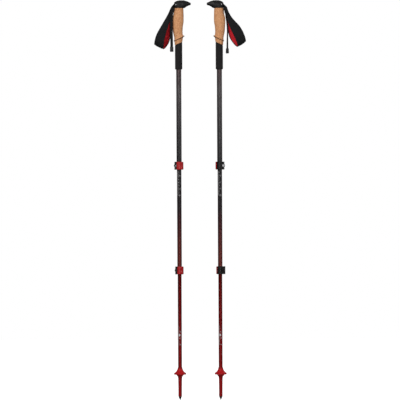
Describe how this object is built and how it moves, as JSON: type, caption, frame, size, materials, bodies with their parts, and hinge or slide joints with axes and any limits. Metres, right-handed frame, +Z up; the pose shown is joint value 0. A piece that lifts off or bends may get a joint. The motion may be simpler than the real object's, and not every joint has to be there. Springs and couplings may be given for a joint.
{
  "type": "trekking poles",
  "caption": "Pair of three-section telescoping trekking poles with cork grips, foam extensions, wrist straps, red lever clamps, small baskets and pointed tips.",
  "frame": {"origin": "on the ground, midway between the two pole tips, at the centre of the bottom of the bounding box", "axes": "+Z up along the poles; +X from the left pole to the right pole; -Y is the side the left pole's levers face"},
  "size_m": [0.289, 0.044, 1.2502],
  "materials": {
    "cork": "fine-grained agglomerated cork, satin",
    "grip_plastic": "black moulded, fine texture",
    "core_plastic": "black moulded",
    "foam": "closed-cell foam, matt",
    "dark_tube": "dark grey anodised tube, satin",
    "shaded_tube": "black fading to dark red, anodised, satin",
    "red_tube": "dark red anodised, satin",
    "clamp_plastic": "black glass-filled, slight sheen",
    "red_plastic": "red moulded, glossy",
    "tip_plastic": "red moulded, satin",
    "steel": "machined steel",
    "dark_steel": "blackened steel",
    "carbide": "sintered carbide",
    "guide_plastic": "grey nylon",
    "webbing": "black woven webbing",
    "pad_fabric": "black padded knit with bound edges",
    "lining_fabric": "red brushed lining",
    "tab_rubber": "black moulded end tab"
  },
  "bodies": {
    "left_handle": {"left_upper_tube": "dark_tube", "left_grip_core": "core_plastic", "left_cork_grip": "cork", "left_foam_grip": "foam", "left_grip_head": "grip_plastic", "left_strap_pin": "steel", "left_strap_wedge": "core_plastic", "left_upper_clamp": "clamp_plastic", "left_upper_barrel_nut": "dark_steel"},
    "left_strap": {"left_strap_webbing": "webbing", "left_strap_pad": "pad_fabric", "left_strap_lining": "lining_fabric", "left_strap_tail": "webbing", "left_strap_tab": "tab_rubber"},
    "left_upper_lever": {"left_upper_lever_cam": "clamp_plastic", "left_upper_lever_cover": "red_plastic"},
    "left_upper_screw": {"left_upper_screw": "steel"},
    "left_middle_guide": {"left_middle_guide": "guide_plastic"},
    "left_middle": {"left_middle_tube": "shaded_tube", "left_lower_clamp": "clamp_plastic", "left_lower_barrel_nut": "dark_steel"},
    "left_lower_lever": {"left_lower_lever_cam": "clamp_plastic", "left_lower_lever_cover": "red_plastic"},
    "left_lower_screw": {"left_lower_screw": "steel"},
    "left_lower_guide": {"left_lower_guide": "guide_plastic"},
    "left_lower": {"left_lower_tube": "red_tube", "left_tip_sleeve": "tip_plastic", "left_tip_holder": "dark_steel", "left_carbide_point": "carbide"},
    "left_basket": {"left_basket": "red_plastic"},
    "right_handle": {"right_upper_tube": "dark_tube", "right_grip_core": "core_plastic", "right_cork_grip": "cork", "right_foam_grip": "foam", "right_grip_head": "grip_plastic", "right_strap_pin": "steel", "right_strap_wedge": "core_plastic", "right_upper_clamp": "clamp_plastic", "right_upper_barrel_nut": "dark_steel"},
    "right_strap": {"right_strap_webbing": "webbing", "right_strap_pad": "pad_fabric", "right_strap_lining": "lining_fabric", "right_strap_tail": "webbing", "right_strap_tab": "tab_rubber"},
    "right_upper_lever": {"right_upper_lever_cam": "clamp_plastic", "right_upper_lever_cover": "red_plastic"},
    "right_upper_screw": {"right_upper_screw": "steel"},
    "right_middle_guide": {"right_middle_guide": "guide_plastic"},
    "right_middle": {"right_middle_tube": "shaded_tube", "right_lower_clamp": "clamp_plastic", "right_lower_barrel_nut": "dark_steel"},
    "right_lower_lever": {"right_lower_lever_cam": "clamp_plastic", "right_lower_lever_cover": "red_plastic"},
    "right_lower_screw": {"right_lower_screw": "steel"},
    "right_lower_guide": {"right_lower_guide": "guide_plastic"},
    "right_lower": {"right_lower_tube": "red_tube", "right_tip_sleeve": "tip_plastic", "right_tip_holder": "dark_steel", "right_carbide_point": "carbide"},
    "right_basket": {"right_basket": "red_plastic"}
  },
  "joints": [
    {"name": "left_strap_swing", "type": "hinge", "parent": "left_handle", "child": "left_strap", "pos_m": [-0.0711, 0, 1.236], "axis": [0, 1, 0], "range_deg": [0, 60]},
    {"name": "left_upper_lever_swing", "type": "hinge", "parent": "left_handle", "child": "left_upper_lever", "pos_m": [-0.0745, -0.0094, 0.7323], "axis": [0, 0, -1], "range_deg": [0, 120]},
    {"name": "left_upper_screw_turn", "type": "hinge", "parent": "left_handle", "child": "left_upper_screw", "pos_m": [-0.0745, 0, 0.7323], "axis": [0, -1, 0], "continuous": true},
    {"name": "left_middle_slide", "type": "slide", "parent": "left_handle", "child": "left_middle_guide", "axis": [0, 0, 1], "range_m": [-0.075, 0.295]},
    {"name": "left_middle_twist", "type": "hinge", "parent": "left_middle_guide", "child": "left_middle", "pos_m": [-0.0635, 0, 0.8712], "axis": [0, 0, 1], "continuous": true},
    {"name": "left_lower_lever_swing", "type": "hinge", "parent": "left_middle", "child": "left_lower_lever", "pos_m": [-0.0735, -0.0084, 0.4053], "axis": [0, 0, -1], "range_deg": [0, 120]},
    {"name": "left_lower_screw_turn", "type": "hinge", "parent": "left_middle", "child": "left_lower_screw", "pos_m": [-0.0735, 0, 0.4053], "axis": [0, -1, 0], "continuous": true},
    {"name": "left_lower_slide", "type": "slide", "parent": "left_middle", "child": "left_lower_guide", "axis": [0, 0, 1], "range_m": [-0.075, 0.288]},
    {"name": "left_lower_twist", "type": "hinge", "parent": "left_lower_guide", "child": "left_lower", "pos_m": [-0.0635, 0, 0.5442], "axis": [0, 0, 1], "continuous": true},
    {"name": "left_basket_turn", "type": "hinge", "parent": "left_lower", "child": "left_basket", "pos_m": [-0.0635, 0, 0.084], "axis": [0, 0, 1], "range_deg": [-270, 0]},
    {"name": "right_strap_swing", "type": "hinge", "parent": "right_handle", "child": "right_strap", "pos_m": [0.0711, 0, 1.236], "axis": [0, -1, 0], "range_deg": [0, 60]},
    {"name": "right_upper_lever_swing", "type": "hinge", "parent": "right_handle", "child": "right_upper_lever", "pos_m": [0.0745, 0.0094, 0.7323], "axis": [0, 0, -1], "range_deg": [0, 120]},
    {"name": "right_upper_screw_turn", "type": "hinge", "parent": "right_handle", "child": "right_upper_screw", "pos_m": [0.0745, 0, 0.7323], "axis": [0, 1, 0], "continuous": true},
    {"name": "right_middle_slide", "type": "slide", "parent": "right_handle", "child": "right_middle_guide", "axis": [0, 0, 1], "range_m": [-0.075, 0.295]},
    {"name": "right_middle_twist", "type": "hinge", "parent": "right_middle_guide", "child": "right_middle", "pos_m": [0.0635, 0, 0.8712], "axis": [0, 0, 1], "continuous": true},
    {"name": "right_lower_lever_swing", "type": "hinge", "parent": "right_middle", "child": "right_lower_lever", "pos_m": [0.07592, 0.00404, 0.4053], "axis": [0, 0, -1], "range_deg": [0, 120]},
    {"name": "right_lower_screw_turn", "type": "hinge", "parent": "right_middle", "child": "right_lower_screw", "pos_m": [0.07277, -0.00375, 0.4053], "axis": [0.3746, 0.9272, 0], "continuous": true},
    {"name": "right_lower_slide", "type": "slide", "parent": "right_middle", "child": "right_lower_guide", "axis": [0, 0, 1], "range_m": [-0.075, 0.288]},
    {"name": "right_lower_twist", "type": "hinge", "parent": "right_lower_guide", "child": "right_lower", "pos_m": [0.0635, 0, 0.5442], "axis": [0, 0, 1], "continuous": true},
    {"name": "right_basket_turn", "type": "hinge", "parent": "right_lower", "child": "right_basket", "pos_m": [0.0635, 0, 0.084], "axis": [0, 0, 1], "range_deg": [-270, 0]},
    {"name": "pair_apart", "type": "slide", "parent": "left_handle", "child": "right_handle", "axis": [1, 0, 0], "range_m": [0, 0.25]}
  ]
}
